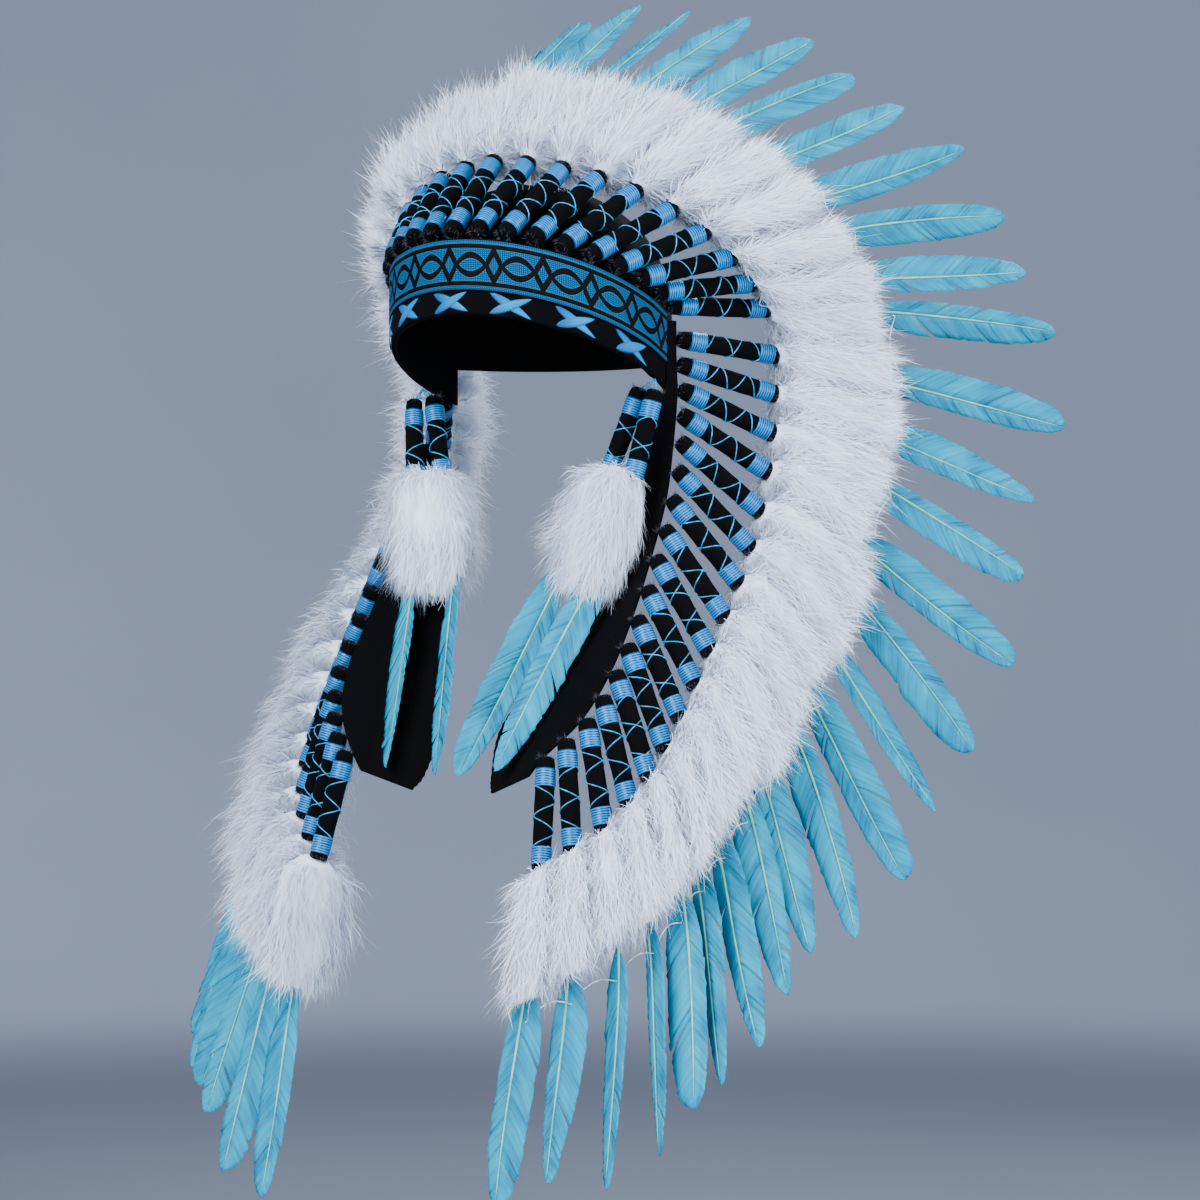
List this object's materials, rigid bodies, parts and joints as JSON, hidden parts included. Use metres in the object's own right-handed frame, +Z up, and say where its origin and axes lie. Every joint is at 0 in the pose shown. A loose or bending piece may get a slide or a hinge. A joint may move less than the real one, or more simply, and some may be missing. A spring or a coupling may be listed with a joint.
{
  "type": "feathered headdress",
  "caption": "Feathered headdress with a felt brow band, woven ribbon, soft cap, white fur-tufted plumes round the head and down two chest trailers, and a pair of drops at each temple.",
  "frame": {"origin": "middle of the brow band's lower edge at ear height, where the head carries it", "axes": "+Z up, the wearer faces -Y, the wearer's left is +X"},
  "size_m": [0.5494, 0.46, 0.825],
  "materials": {
    "felt": "matte black felt",
    "ribbon": "woven jacquard ribbon, blue on black",
    "plumes": "dyed turquoise feather, white long-hair fur tuft and thread-wound black sleeve"
  },
  "bodies": {
    "root": {"brow_band": "felt", "cap": "felt", "trailer_left": "felt", "trailer_right": "felt", "woven_ribbon": "ribbon", "drop_left": "plumes", "drop_right": "plumes", "plume_center": "plumes", "plume_l01": "plumes", "plume_l02": "plumes", "plume_l03": "plumes", "plume_l04": "plumes", "plume_l05": "plumes", "plume_l06": "plumes", "plume_l07": "plumes", "plume_l08": "plumes", "plume_l09": "plumes", "plume_l10": "plumes", "plume_l11": "plumes", "plume_l12": "plumes", "plume_l13": "plumes", "plume_l14": "plumes", "plume_l15": "plumes", "plume_l16": "plumes", "plume_l17": "plumes", "plume_l18": "plumes", "plume_l19": "plumes", "plume_l20": "plumes", "plume_l21": "plumes", "plume_l22": "plumes", "plume_l23": "plumes", "plume_l24": "plumes", "plume_l25": "plumes", "plume_l26": "plumes", "plume_r01": "plumes", "plume_r02": "plumes", "plume_r03": "plumes", "plume_r04": "plumes", "plume_r05": "plumes", "plume_r06": "plumes", "plume_r07": "plumes", "plume_r08": "plumes", "plume_r09": "plumes", "plume_r10": "plumes", "plume_r11": "plumes", "plume_r12": "plumes", "plume_r13": "plumes", "plume_r14": "plumes", "plume_r15": "plumes", "plume_r16": "plumes", "plume_r17": "plumes", "plume_r18": "plumes", "plume_r19": "plumes", "plume_r20": "plumes", "plume_r21": "plumes", "plume_r22": "plumes", "plume_r23": "plumes", "plume_r24": "plumes", "plume_r25": "plumes", "plume_r26": "plumes"}
  },
  "joints": []
}
